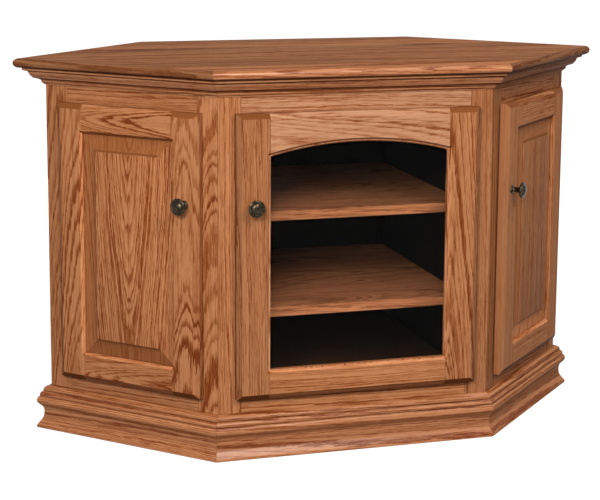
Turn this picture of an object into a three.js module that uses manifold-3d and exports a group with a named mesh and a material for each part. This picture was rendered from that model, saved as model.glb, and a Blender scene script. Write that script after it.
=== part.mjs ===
// A corner TV cabinet in stained oak: a wide front with an arched glass door between two
// angled sides with raised-panel doors, under a bullnosed top and on a moulded base.
// Millimetres, +Z up, the front faces -Y, +X is to the right of someone facing the cabinet.
import * as THREE from "three";
import { mergeVertices } from "three/addons/utils/BufferGeometryUtils.js";
import Module from "manifold-3d";

const wasm = await Module();
wasm.setup();

// Plan: the front, the two sides at 45 degrees to it, and the two walls that stand in the room's corner
const frontWidth = 560;
const sideLength = 400;
const wallLength = 378;

// Heights and boards of the case
const overallHeight = 762;
const topThickness = 19;
const topOverhang = 46;
const frameThickness = 19;
const wallThickness = 12;
const backThickness = 9;
const floorThickness = 18;
const floorStep = 3;
const railBottom = 50;
const partitionThickness = 18;
const partitionSetback = 10;
const cableHoleRadius = 30;
const cableHoleFromTop = 153;

// Shelves and the pins under them
const shelfThickness = 19;
const shelfSetback = 16;
const shelfGap = 1.5;
const upperShelfTop = 478;
const lowerShelfTop = 286;
const sideShelfTop = 400;
const shelfPinRadius = 2.5;
const shelfPinReach = 9;
const shelfPinSunk = 8;
const wallPinSunk = 6;
const shelfPinInset = 45;

// Mouldings: how far they stand out, how tall they are, and how far they return along the walls
const crownHeight = 34;
const crownReach = 33;
const crownReturn = 34;
const baseHeight = 89;
const baseReach = 22;
const baseReturn = 30;

// Doors: overlay doors that stand a little off the face frames. The frames show by these margins round them.
const doorBottom = 118;
const doorHeadroom = 66;
const centreDoorMargin = 33;
const sideDoorStart = 31;
const sideDoorEnd = 39;
const doorThickness = 19;
const doorGap = 2.4;
const doorOverlay = 12.7;
const centreStileWidth = 65;
const sideStileWidth = 60;
const topRailWidth = 57;
const bottomRailWidth = 57;
const archRise = 24;
const edgeBevelWidth = 10;
const edgeBevelDepth = 6;
const rearEase = 2;
const stickingWidth = 5;
const stickingDepth = 5;
const grooveDepth = 10;
const grooveFromFront = 8;
const tenonLength = 9;
const glassThickness = 4;
const glassLap = 8;
const tongueThickness = 5.8;
const tongueLap = 9;
const fieldMargin = 33;
const fieldStep = 2;
const fieldSetback = 1;
const panelBack = 3;

// Knobs, each with the screw that holds it
const knobFromTop = 177;
const knobProjection = 30;
const knobRadius = 16.5;
const knobFootRadius = 8.5;
const knobNeckRadius = 5;
const screwRadius = 2;
const screwHeadRadius = 4.5;
const screwHeadThickness = 1.8;
const screwHoleRadius = 2.6;

// Concealed hinges: a cup let into the door, and a swan-neck arm on the frame that turns on the cup's pin
const hingeFromEnd = 88;
const cupTab = 3;
const cupBoreRadius = 17.5;
const cupBoreDepth = 14.3;
const cupClearance = 0.3;
const cupWall = 0.8;
const cupFloor = 0.7;
const earThickness = 1;
const earWidth = 20;
const earReach = 28;
const hingePinFromEdge = 8;
const hingePinDepth = 10.5;
const hingePinRadius = 1.2;
const knuckleClearance = 0.35;
const knuckleWall = 0.85;
const armThickness = 1.8;
const armWidth = 9;
const armReach = 15;
const armDip = 1.05;
const armRise = 16.5;
const armPlateThickness = 2;
const armPlateLength = 40;
const armPlateStart = 2;
const armPlateDepth = 15.5;

// Clearances and facets
const seam = 0.3; // the hairline left between two pieces that meet
const overrun = 20; // how far a cutter runs past what it cuts
const weld = 0.001; // points closer than this are one point
const roundSteps = 28;
const smallSteps = 12;
const archSteps = 18;
const noseSteps = 8;
const arcSteps = 4;

const oak = { color: 0xa8693f, roughness: 0.42, metalness: 0 };
const panelOak = { color: 0xb0703f, roughness: 0.42, metalness: 0 };
const innerOak = { color: 0x7d4a2c, roughness: 0.6, metalness: 0 };
const darkInner = { color: 0x1c1a17, roughness: 0.8, metalness: 0 };
const clearGlass = { color: 0xdfe8e6, roughness: 0.03, metalness: 0, transparent: true, opacity: 0.3 };
const darkPewter = { color: 0x4a443a, roughness: 0.38, metalness: 0.9 };
const hingeSteel = { color: 0xb9bcbe, roughness: 0.3, metalness: 1 };

const cabinet = new THREE.Group();

// A solid from a closed geometry: only positions are kept, and shared points are merged.
function solidOf(geometry) {
  const bare = geometry.index ? geometry.toNonIndexed() : geometry.clone();
  bare.deleteAttribute("normal");
  bare.deleteAttribute("uv");
  const merged = mergeVertices(bare, weld);
  return new wasm.Manifold(
    new wasm.Mesh({
      numProp: 3,
      vertProperties: new Float32Array(merged.attributes.position.array),
      triVerts: new Uint32Array(merged.index.array),
    }),
  );
}

function geometryOf(solid) {
  const mesh = solid.getMesh();
  const geometry = new THREE.BufferGeometry();
  geometry.setAttribute("position", new THREE.BufferAttribute(new Float32Array(mesh.vertProperties), 3));
  geometry.setIndex(new THREE.BufferAttribute(new Uint32Array(mesh.triVerts), 1));
  const flat = geometry.toNonIndexed();
  flat.computeVertexNormals();
  return flat;
}

function place(parent, name, shape, finish) {
  const geometry = shape.isBufferGeometry ? shape : geometryOf(shape);
  const mesh = new THREE.Mesh(geometry, new THREE.MeshStandardMaterial(finish));
  mesh.name = name;
  parent.add(mesh);
  return mesh;
}

// A solid through rings with equal numbers of points. The flat outline says how the two end rings are filled.
function loft(flat, rings) {
  const count = flat.length;
  const positions = rings.flat().flatMap((p) => [p.x, p.y, p.z]);
  const faces = [];
  for (let r = 0; r + 1 < rings.length; r++)
    for (let i = 0; i < count; i++) {
      const j = (i + 1) % count;
      const a = r * count + i;
      const b = r * count + j;
      faces.push(a, b, b + count, a, b + count, a + count);
    }
  const last = (rings.length - 1) * count;
  for (const [i, j, k] of THREE.ShapeUtils.triangulateShape(flat, []))
    faces.push(k, j, i, last + i, last + j, last + k);
  let volume = 0;
  const at = (index) => new THREE.Vector3().fromArray(positions, index * 3);
  for (let f = 0; f < faces.length; f += 3)
    volume += at(faces[f]).dot(at(faces[f + 1]).cross(at(faces[f + 2])));
  if (volume < 0) faces.reverse();
  const geometry = new THREE.BufferGeometry();
  geometry.setAttribute("position", new THREE.Float32BufferAttribute(positions, 3));
  geometry.setIndex(faces);
  return solidOf(geometry);
}

function box([x0, x1], [y0, y1], [z0, z1]) {
  const geometry = new THREE.BoxGeometry(x1 - x0, y1 - y0, z1 - z0);
  return solidOf(geometry.translate((x0 + x1) / 2, (y0 + y1) / 2, (z0 + z1) / 2));
}

// A board whose plan is an outline of [x, y] points.
function board(outline, [z0, z1]) {
  const shape = new THREE.Shape(outline.map(([x, y]) => new THREE.Vector2(x, y)));
  const geometry = new THREE.ExtrudeGeometry(shape, { depth: z1 - z0, bevelEnabled: false });
  return solidOf(geometry.translate(0, 0, z0));
}

// A round rod from one point to another.
function rod(from, to, radius, steps) {
  const start = new THREE.Vector3(...from);
  const run = new THREE.Vector3(...to).sub(start);
  const geometry = new THREE.CylinderGeometry(radius, radius, run.length(), steps);
  geometry.translate(0, run.length() / 2, 0);
  geometry.applyQuaternion(
    new THREE.Quaternion().setFromUnitVectors(new THREE.Vector3(0, 1, 0), run.clone().normalize()),
  );
  return solidOf(geometry.translate(...from));
}

// An outline from shares of a width and a height. The third number bends the stretch that leads to the point:
// it is the tangent of a quarter of the arc's angle, and 0 is straight.
function curvedOutline(shares, width, height) {
  const points = [];
  shares.forEach(([u, v, bend], index) => {
    const end = new THREE.Vector2(u * width, v * height);
    if (bend && index) {
      const start = points[points.length - 1].clone();
      const chord = end.clone().sub(start);
      const normal = new THREE.Vector2(-chord.y, chord.x);
      for (let step = 1; step < arcSteps; step++) {
        const t = step / arcSteps;
        const angle = 4 * Math.atan(bend);
        const across = Math.sin(angle * (t - 0.5)) / (2 * Math.sin(angle / 2)) + 0.5;
        const aside = (Math.cos(angle * (t - 0.5)) - Math.cos(angle / 2)) / (2 * Math.sin(angle / 2));
        points.push(start.clone().addScaledVector(chord, across).addScaledVector(normal, -aside));
      }
    }
    points.push(end);
  });
  return points;
}

// Corners of the plan when each face is moved out by its own distance, on the right-hand half.
const root2 = Math.SQRT2;
const cornerX = frontWidth / 2;
const sideX = cornerX + sideLength / root2;
const sideY = sideLength / root2;
const backY = sideY + wallLength / root2;

function frontAndSide(frontOut, sideOut) {
  return [cornerX - frontOut + sideOut * root2, -frontOut];
}

function sideAndWall(sideOut, wallOut) {
  const x = (cornerX + sideX + sideY + (sideOut + wallOut) * root2) / 2;
  return [x, x - cornerX - sideOut * root2];
}

function wallAndBack(wallOut, backOut) {
  const y = backY + backOut;
  return [sideX + sideY + wallOut * root2 - y, y];
}

const mirrored = ([x, y]) => [-x, y];

function hexagon(frontOut, sideOut, wallOut, backOut) {
  const right = [
    frontAndSide(frontOut, sideOut),
    sideAndWall(sideOut, wallOut),
    wallAndBack(wallOut, backOut),
  ];
  return [...right, ...right.toReversed().map(mirrored)];
}

// What the doors leave of the case, and what the case leaves for the doors
const caseTop = overallHeight - topThickness;
const doorHeight = caseTop - doorHeadroom - doorBottom;
const centreDoorWidth = frontWidth - 2 * centreDoorMargin;
const sideDoorWidth = sideLength - sideDoorStart - sideDoorEnd;

// The top board: the plan moved out by the overhang, with a full bullnose round its edge.
function makeTop() {
  const rings = [];
  for (let step = 0; step <= noseSteps; step++) {
    const angle = (step / noseSteps - 0.5) * Math.PI;
    const out = topOverhang - (topThickness / 2) * (1 - Math.cos(angle));
    const z = caseTop + (topThickness / 2) * (1 + Math.sin(angle));
    rings.push(hexagon(out, out, out, out).map(([x, y]) => new THREE.Vector3(x, y, z)));
  }
  const flat = rings[0].map((p) => new THREE.Vector2(p.x, p.y));
  place(cabinet, "top_board", loft(flat, rings), oak);
}

// Mouldings are one profile carried past the plan's corners. Each profile is in shares of its reach and its height.
const crownShares = [
  [0, 0, 0],
  [0.08, 0, 0],
  [0.1, 0.07, 0],
  [0.16, 0.14, 0.35],
  [0.14, 0.19, 0],
  [0.38, 0.4, -0.28],
  [0.52, 0.44, 0],
  [0.6, 0.63, 0.42],
  [0.58, 0.66, 0],
  [0.8, 0.85, -0.3],
  [1, 0.87, 0],
  [1, 1, 0],
  [0, 1, 0],
];
const baseShares = [
  [0, 0, 0],
  [0.95, 0, 0],
  [1, 0.03, 0.2],
  [1, 0.08, 0.1],
  [0.56, 0.28, -0.12],
  [0.6, 0.46, -0.1],
  [0.93, 0.645, -0.12],
  [0.9, 0.775, 0.45],
  [0.72, 0.785, 0],
  [0.68, 0.875, 0.4],
  [0.52, 0.89, 0],
  [0.5, 0.965, 0.12],
  [0, 1, 0],
];

// Where a moulding's profile point lies at each corner, for a point that stands out by `out`.
const alongSide = new THREE.Vector2(1, 1).normalize();
const frontEnd = (out) => {
  const [x, y] = frontAndSide(out, out);
  return [x - seam / 2, y];
};
const sideStart = (out) => {
  const [x, y] = frontAndSide(out, out);
  return [x + alongSide.x * seam, y + alongSide.y * seam];
};
const returnEnd = (length) => (out) => [
  sideX + (out - length) / root2,
  sideY + (out + length) / root2,
];

function moulding(profile, z0, stations) {
  const rings = stations.map((station) =>
    profile.map((point) => {
      const [x, y] = station(seam + point.x);
      return new THREE.Vector3(x, y, z0 + point.y);
    }),
  );
  return loft(profile, rings);
}

function makeMouldings(name, profile, z0, returnLength) {
  const mirror = (station) => (out) => mirrored(station(out));
  const side = [sideStart, (out) => sideAndWall(out, out), returnEnd(returnLength)];
  place(cabinet, `${name}_front`, moulding(profile, z0, [mirror(frontEnd), frontEnd]), oak);
  place(cabinet, `${name}_right`, moulding(profile, z0, side), oak);
  place(cabinet, `${name}_left`, moulding(profile, z0, side.map(mirror)), oak);
}

// Face frames. Their stiles meet at the front corners on mitres, and their openings follow the doors.
const frameTop = caseTop - seam;
const openingBottom = doorBottom + doorOverlay;
const openingTop = doorBottom + doorHeight - doorOverlay;
const centreOpening = centreDoorWidth / 2 - doorOverlay;
const sideOpening = [sideDoorStart + doorOverlay, sideDoorStart + sideDoorWidth - doorOverlay];
const mitreShift = frameThickness * Math.tan(Math.PI / 8);

function makeRails(parent, name, [from, to]) {
  const across = [from + seam, to - seam];
  const depth = [0, frameThickness];
  place(parent, `${name}_top_rail`, box(across, depth, [openingTop, frameTop]), oak);
  place(parent, `${name}_bottom_rail`, box(across, depth, [railBottom, openingBottom]), oak);
}

function makeFrontFrame() {
  const stile = [
    [centreOpening, 0],
    [cornerX - seam / 2, 0],
    [cornerX - mitreShift - seam / 2, frameThickness],
    [centreOpening, frameThickness],
  ];
  const heights = [0, frameTop];
  place(cabinet, "front_frame_right_stile", board(stile, heights), oak);
  place(cabinet, "front_frame_left_stile", board(stile.map(mirrored).reverse(), heights), oak);
  makeRails(cabinet, "front_frame", [-centreOpening, centreOpening]);
}

// A group whose x runs along an angled side from the front corner, and whose y runs into the cabinet.
function sideGroup(sign) {
  const group = new THREE.Group();
  group.position.set(sign * cornerX, 0, 0);
  group.rotation.z = (sign * Math.PI) / 4;
  group.scale.x = sign;
  cabinet.add(group);
  return group;
}

function makeSideFrame(name, sign) {
  const group = sideGroup(sign);
  const inner = [
    [seam / 2, 0],
    [sideOpening[0], 0],
    [sideOpening[0], frameThickness],
    [mitreShift + seam / 2, frameThickness],
  ];
  const heights = [0, frameTop];
  place(group, `${name}_inner_stile`, board(inner, heights), oak);
  const outer = box([sideOpening[1], sideLength], [0, frameThickness], heights);
  place(group, `${name}_outer_stile`, outer, oak);
  makeRails(group, name, sideOpening);
}

// The case inside the frames: floor board, walls, back, partitions and shelves.
const partitionX = centreOpening + partitionSetback;
const partitionOuterX = partitionX + partitionThickness;
const shelfFront = frameThickness + shelfSetback;
const shelfBack = backY - backThickness - shelfGap;
const floorTop = openingBottom - floorStep;

const pinHeight = (shelfTop) => shelfTop - shelfThickness - seam - shelfPinRadius;

// What fills the case inside its frames, walls and back, with a clearance from the walls and the back.
function inside(sideOut, clearance, heights) {
  const frontOut = -(frameThickness + seam);
  return board(hexagon(frontOut, sideOut, -(wallThickness + clearance), -(backThickness + clearance)), heights);
}

function makeFloor() {
  const floor = inside(-(frameThickness + seam), seam, [floorTop - floorThickness, floorTop]);
  place(cabinet, "floor_board", floor, innerOak);
}

// Two pins on a wall's inner face carry the side shelf, which ends at the back or where the partition meets the wall.
function wallPins() {
  const [startX, startY] = sideAndWall(-shelfFront, -wallThickness);
  const [backX, backEndY] = wallAndBack(-wallThickness, -backThickness);
  const endX = Math.max(backX, partitionOuterX);
  const endY = backEndY + backX - endX;
  const run = new THREE.Vector2(endX - startX, endY - startY);
  const inset = run.clone().setLength(shelfPinInset);
  const spots = [
    [startX + inset.x, startY + inset.y],
    [endX - inset.x, endY - inset.y],
  ];
  const z = pinHeight(sideShelfTop);
  return spots.map(([x, y]) => {
    const out = wallPinSunk / root2;
    const reach = shelfPinReach / root2;
    return rod([x + out, y + out, z], [x - reach, y - reach, z], shelfPinRadius, smallSteps);
  });
}

function makeWalls() {
  const start = -(frameThickness + seam);
  const end = -(backThickness + seam);
  const outline = [
    sideAndWall(start, 0),
    wallAndBack(0, end),
    wallAndBack(-wallThickness, end),
    sideAndWall(start, -wallThickness),
  ];
  let wall = board(outline, [0, frameTop]);
  for (const pin of wallPins()) wall = wall.add(pin);
  place(cabinet, "right_wall_panel", wall, darkInner);
  const group = new THREE.Group();
  group.scale.x = -1;
  cabinet.add(group);
  place(group, "left_wall_panel", wall, darkInner);
}

function makeBack() {
  const half = [wallAndBack(0, -backThickness), wallAndBack(0, 0)];
  const outline = [...half, ...half.toReversed().map(mirrored)];
  const holeZ = caseTop - cableHoleFromTop;
  const hole = rod(
    [0, backY - backThickness - overrun, holeZ],
    [0, backY + overrun, holeZ],
    cableHoleRadius,
    roundSteps,
  );
  place(cabinet, "back_panel", board(outline, [0, frameTop]).subtract(hole), darkInner);
}

function makePartitions() {
  const heights = [floorTop + seam, frameTop];
  const slab = box([partitionX, partitionOuterX], [-overrun, backY + overrun], heights);
  let partition = slab.intersect(inside(-(frameThickness + seam), seam, heights));
  const spots = [shelfFront + shelfPinInset, shelfBack - shelfPinInset];
  for (const y of spots) {
    for (const shelfTop of [upperShelfTop, lowerShelfTop]) {
      const z = pinHeight(shelfTop);
      const from = [partitionX + shelfPinSunk, y, z];
      partition = partition.add(rod(from, [partitionX - shelfPinReach, y, z], shelfPinRadius, smallSteps));
    }
    const z = pinHeight(sideShelfTop);
    const from = [partitionOuterX - shelfPinSunk, y, z];
    partition = partition.add(rod(from, [partitionOuterX + shelfPinReach, y, z], shelfPinRadius, smallSteps));
  }
  place(cabinet, "right_partition", partition, darkInner);
  const group = new THREE.Group();
  group.scale.x = -1;
  cabinet.add(group);
  place(group, "left_partition", partition, darkInner);
}

function makeShelves() {
  const half = partitionX - shelfGap;
  for (const [name, top] of [["upper_shelf", upperShelfTop], ["lower_shelf", lowerShelfTop]]) {
    const heights = [top - shelfThickness, top];
    const slab = box([-half, half], [shelfFront, backY + overrun], heights);
    place(cabinet, name, slab.intersect(inside(-(frameThickness + seam), shelfGap, heights)), innerOak);
  }
  const heights = [sideShelfTop - shelfThickness, sideShelfTop];
  const fitted = inside(-shelfFront, shelfGap, heights);
  const reach = [partitionOuterX + shelfGap, sideX + overrun];
  const depth = [-overrun, backY + overrun];
  const left = reach.map((x) => -x).reverse();
  place(cabinet, "right_side_shelf", fitted.intersect(box(reach, depth, heights)), innerOak);
  place(cabinet, "left_side_shelf", fitted.intersect(box(left, depth, heights)), innerOak);
}

// Doors are made in their own frame: x from the hinge edge, y from the rear face into the cabinet,
// z from the bottom edge, so that the door fills y from minus its thickness to 0.
const rectangle = (width, inset) => [
  [inset, inset],
  [width - inset, inset],
  [width - inset, doorHeight - inset],
  [inset, doorHeight - inset],
];

// The outline of a door's opening, grown by a margin. The top is straight, or an arc that rises in the middle.
function openingOutline({ width, stile, rise }, grow) {
  const left = stile - grow;
  const right = width - stile + grow;
  const bottom = bottomRailWidth - grow;
  const crest = doorHeight - topRailWidth + grow;
  if (!rise) return [[left, bottom], [right, bottom], [right, crest], [left, crest]];
  const half = width / 2 - stile;
  const radius = (half * half + rise * rise) / (2 * rise) + grow;
  const centreZ = crest - radius;
  const reach = Math.asin((half + grow) / radius);
  const points = [[left, bottom], [right, bottom]];
  for (let step = 0; step <= archSteps; step++) {
    const angle = reach * (1 - (2 * step) / archSteps);
    points.push([width / 2 + radius * Math.sin(angle), centreZ + radius * Math.cos(angle)]);
  }
  return points;
}

// Rings of an upright outline at several depths.
function uprightLoft(levels) {
  const flat = levels[0][1].map(([x, z]) => new THREE.Vector2(x, z));
  return loft(flat, levels.map(([y, outline]) => outline.map(([x, z]) => new THREE.Vector3(x, y, z))));
}

function doorBlank(width) {
  return uprightLoft([
    [0, rectangle(width, rearEase)],
    [-rearEase, rectangle(width, 0)],
    [edgeBevelDepth - doorThickness, rectangle(width, 0)],
    [-doorThickness, rectangle(width, edgeBevelWidth)],
  ]);
}

function openingCutter(door) {
  return uprightLoft([
    [overrun, openingOutline(door, 0)],
    [stickingDepth - doorThickness, openingOutline(door, 0)],
    [-doorThickness, openingOutline(door, stickingWidth)],
    [-doorThickness - overrun, openingOutline(door, stickingWidth)],
  ]);
}

const grooveFront = grooveFromFront - doorThickness;
function grooveSpan(door) {
  return [grooveFront, grooveFront + door.filling + 2 * seam];
}

// The knob's turned profile, in shares of each part's radius and of the knob's projection.
const knobFootShares = [
  [1, 0.06],
  [0.86, 0.12],
];
const knobNeckShares = [
  [1.15, 0.2],
  [1, 0.36],
  [1.25, 0.52],
];
const knobHeadShares = [
  [0.62, 0.64],
  [0.94, 0.7],
  [1, 0.76],
  [0.97, 0.82],
  [0.72, 0.87],
  [0.68, 0.85],
  [0.58, 0.92],
  [0.32, 0.98],
  [0, 1],
];

function makeKnob() {
  const back = -(doorThickness + seam);
  const turned = (shares, radius) => shares.map(([u, v]) => [u * radius, v * knobProjection]);
  const profile = [
    [0, back - screwHeadThickness],
    [screwHeadRadius, back - screwHeadThickness],
    [screwHeadRadius, back],
    [screwRadius, back],
    [screwRadius, seam],
    [knobFootRadius, seam],
    ...turned(knobFootShares, knobFootRadius),
    ...turned(knobNeckShares, knobNeckRadius),
    ...turned(knobHeadShares, knobRadius),
  ];
  const points = profile.map(([radius, out]) => new THREE.Vector2(radius, out));
  const geometry = new THREE.LatheGeometry(points, roundSteps);
  return geometry.rotateX(Math.PI).translate(0, -doorThickness, 0);
}

// A strip of even thickness along a bent centre line in plan, pulled up to a width.
function strip(line, thickness, width) {
  const points = line.map(([x, y]) => new THREE.Vector2(x, y));
  const sides = [1, -1].map((sign) =>
    points.map((point, index) => {
      const before = points[Math.max(index - 1, 0)];
      const after = points[Math.min(index + 1, points.length - 1)];
      const into = (index ? point.clone().sub(before) : after.clone().sub(point)).normalize();
      const away = (index + 1 < points.length ? after.clone().sub(point) : into.clone()).normalize();
      const mid = into.clone().add(away).normalize();
      const normal = new THREE.Vector2(-mid.y, mid.x);
      const stretch = Math.sqrt((1 + into.dot(away)) / 2);
      return point.clone().addScaledVector(normal, (sign * thickness) / 2 / stretch);
    }),
  );
  const outline = [...sides[0], ...sides[1].reverse()].map((p) => [p.x, p.y]);
  return board(outline, [-width / 2, width / 2]);
}

function hingeArm() {
  const x = hingePinFromEdge;
  const y = -hingePinDepth;
  const bore = hingePinRadius + knuckleClearance;
  const half = armWidth / 2;
  const plateX = doorOverlay + seam;
  const turnX = x + armReach;
  const turnY = y + armRise;
  const neck = strip(
    [[x, y], [turnX, y - armDip], [turnX, turnY], [plateX + armPlateThickness / 2, turnY]],
    armThickness,
    armWidth,
  );
  const plate = box(
    [plateX, plateX + armPlateThickness],
    [doorGap + armPlateStart, doorGap + armPlateStart + armPlateDepth],
    [-armPlateLength / 2, armPlateLength / 2],
  );
  const knuckle = rod([x, y, -half], [x, y, half], bore + knuckleWall, roundSteps);
  const hole = rod([x, y, -half - overrun], [x, y, half + overrun], bore, smallSteps);
  return neck.add(plate).add(knuckle).subtract(hole);
}

const cupX = cupTab + cupBoreRadius;
function hingeCup() {
  const outer = cupBoreRadius - cupClearance;
  const top = seam + earThickness;
  const bottom = cupClearance - cupBoreDepth;
  const outside = rod([cupX, bottom, 0], [cupX, top, 0], outer, roundSteps);
  const inside = rod([cupX, bottom + cupFloor, 0], [cupX, top + overrun, 0], outer - cupWall, roundSteps);
  const ears = box([cupX - earWidth / 2, cupX + earWidth / 2], [seam, top], [-earReach, earReach]);
  const pin = rod(
    [hingePinFromEdge, -hingePinDepth, -cupBoreRadius],
    [hingePinFromEdge, -hingePinDepth, cupBoreRadius],
    hingePinRadius,
    smallSteps,
  ).intersect(outside);
  const across = [-cupBoreRadius, cupBoreRadius];
  const hingeSide = box([cupTab, cupX - earWidth / 2], [0, overrun], across);
  return outside.add(ears).subtract(inside).subtract(hingeSide).add(pin);
}

const lift = (shape, z) => geometryOf(shape).translate(0, 0, z);

function makeDoor(name, door, group) {
  const { width, stile } = door;
  const knobX = width - stile / 2;
  const knobZ = doorHeight - knobFromTop;
  const hinges = { upper: doorHeight - hingeFromEnd, lower: hingeFromEnd };
  const depth = [-doorThickness, 0];
  const blank = doorBlank(width);
  const cutter = openingCutter(door);
  const [front, back] = grooveSpan(door);
  const groove = uprightLoft([
    [front, openingOutline(door, grooveDepth)],
    [back, openingOutline(door, grooveDepth)],
  ]);
  const full = [-overrun, doorHeight + overrun];

  let hingeStile = box([0, stile], depth, [0, doorHeight]);
  hingeStile = hingeStile.subtract(box([stile - grooveDepth, stile + overrun], [front, back], full));
  for (const z of Object.values(hinges))
    hingeStile = hingeStile.subtract(
      rod([cupX, -cupBoreDepth, z], [cupX, overrun, z], cupBoreRadius, roundSteps),
    );
  let knobStile = box([width - stile, width], depth, [0, doorHeight]);
  const slot = [width - stile - overrun, width - stile + grooveDepth];
  knobStile = knobStile.subtract(box(slot, [front, back], full));
  knobStile = knobStile.subtract(
    rod([knobX, -doorThickness - overrun, knobZ], [knobX, overrun, knobZ], screwHoleRadius, smallSteps),
  );

  const railSpan = [stile + seam, width - stile - seam];
  const tenonSpan = [stile - tenonLength, width - stile + tenonLength];
  const tenonDepth = [front + seam, back - seam];
  const railEdges = {
    top_rail: [doorHeight - topRailWidth - door.rise, doorHeight],
    bottom_rail: [0, bottomRailWidth],
  };
  place(group, `${name}_hinge_stile`, hingeStile.intersect(blank).subtract(cutter), oak);
  place(group, `${name}_knob_stile`, knobStile.intersect(blank).subtract(cutter), oak);
  for (const [rail, heights] of Object.entries(railEdges)) {
    const body = box(railSpan, depth, heights).add(box(tenonSpan, tenonDepth, heights));
    place(group, `${name}_${rail}`, body.intersect(blank).subtract(cutter).subtract(groove), oak);
  }

  if (door.glazed) {
    const glass = uprightLoft([
      [front + seam, openingOutline(door, glassLap)],
      [back - seam, openingOutline(door, glassLap)],
    ]);
    place(group, `${name}_glass`, glass, clearGlass);
  } else place(group, `${name}_raised_panel`, raisedPanel(door, front, back), panelOak);

  const knob = makeKnob().translate(knobX, 0, knobZ);
  place(group, `${name}_knob`, knob, darkPewter);
  for (const [end, z] of Object.entries(hinges)) {
    place(group, `${name}_${end}_hinge_cup`, lift(hingeCup(), z), hingeSteel);
    place(group, `${name}_${end}_hinge_arm`, lift(hingeArm(), z), hingeSteel);
  }
}

// A panel whose tongue sits in the grooves, with a sloping border up to a raised field.
function raisedPanel(door, front, back) {
  const field = -fieldMargin;
  const tongueFront = front + seam;
  const tongueBack = back - seam;
  return uprightLoft([
    [-panelBack, openingOutline(door, -tongueLap)],
    [tongueBack, openingOutline(door, -tongueLap / 2)],
    [tongueBack, openingOutline(door, tongueLap)],
    [tongueFront, openingOutline(door, tongueLap)],
    [tongueFront, openingOutline(door, -seam)],
    [fieldSetback + fieldStep - doorThickness, openingOutline(door, field)],
    [fieldSetback - doorThickness, openingOutline(door, field)],
  ]);
}

// A door's group stands at its hinge edge, on the face it closes, with x running towards the knob.
function doorGroup(x, y, turn, flip) {
  const group = new THREE.Group();
  group.position.set(x, y, doorBottom);
  group.rotation.z = turn;
  group.scale.x = flip;
  cabinet.add(group);
  return group;
}

function makeDoors() {
  const centre = {
    width: centreDoorWidth,
    stile: centreStileWidth,
    rise: archRise,
    filling: glassThickness,
    glazed: true,
  };
  const side = {
    width: sideDoorWidth,
    stile: sideStileWidth,
    rise: 0,
    filling: tongueThickness,
    glazed: false,
  };
  makeDoor("centre_door", centre, doorGroup(centreDoorWidth / 2, -doorGap, 0, -1));
  const along = sideDoorStart + sideDoorWidth;
  const x = cornerX + (along + doorGap) / root2;
  const y = (along - doorGap) / root2;
  makeDoor("left_door", side, doorGroup(-x, y, -Math.PI / 4, 1));
  makeDoor("right_door", side, doorGroup(x, y, Math.PI / 4, -1));
}

makeTop();
const crownProfile = curvedOutline(crownShares, crownReach, crownHeight);
makeMouldings("crown_moulding", crownProfile, caseTop - seam - crownHeight, crownReturn);
const baseProfile = curvedOutline(baseShares, baseReach, baseHeight);
makeMouldings("base_moulding", baseProfile, 0, baseReturn);
makeFrontFrame();
makeSideFrame("left_frame", -1);
makeSideFrame("right_frame", 1);
makeFloor();
makeWalls();
makeBack();
makePartitions();
makeShelves();
makeDoors();

// The origin is on the floor, midway between the centre knob's face and the rear edge of the top.
const foremost = doorGap + doorThickness + knobProjection;
const rearmost = backY + topOverhang;
cabinet.position.y = (foremost - rearmost) / 2;

export default cabinet;
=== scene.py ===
import math

import bmesh
import bpy
import numpy as np
from mathutils import Matrix, Vector


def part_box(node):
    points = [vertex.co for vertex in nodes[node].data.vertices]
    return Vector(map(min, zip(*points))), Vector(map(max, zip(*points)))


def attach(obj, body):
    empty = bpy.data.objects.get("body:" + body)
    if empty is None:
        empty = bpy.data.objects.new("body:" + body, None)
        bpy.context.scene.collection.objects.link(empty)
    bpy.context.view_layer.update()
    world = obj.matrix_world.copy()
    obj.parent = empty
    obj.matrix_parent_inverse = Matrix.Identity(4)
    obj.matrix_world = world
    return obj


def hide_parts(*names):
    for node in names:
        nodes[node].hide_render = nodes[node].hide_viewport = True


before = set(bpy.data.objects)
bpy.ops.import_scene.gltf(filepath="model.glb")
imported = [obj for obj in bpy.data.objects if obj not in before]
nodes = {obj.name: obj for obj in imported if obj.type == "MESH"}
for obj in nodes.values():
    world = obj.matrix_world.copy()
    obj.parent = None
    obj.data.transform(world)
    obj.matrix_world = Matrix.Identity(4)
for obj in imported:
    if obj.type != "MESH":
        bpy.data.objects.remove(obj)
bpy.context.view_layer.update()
mm = 0.001
print("frame loaded:", len(nodes), "nodes")

# The row frame starts at the middle of the cabinet's box. Plans here are drawn from the front frame's face.
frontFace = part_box("front_frame_right_stile")[0].y


# Meshes

def addObject(name, data):
    made = bpy.data.objects.new(name, data)
    bpy.context.scene.collection.objects.link(made)
    return made


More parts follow.
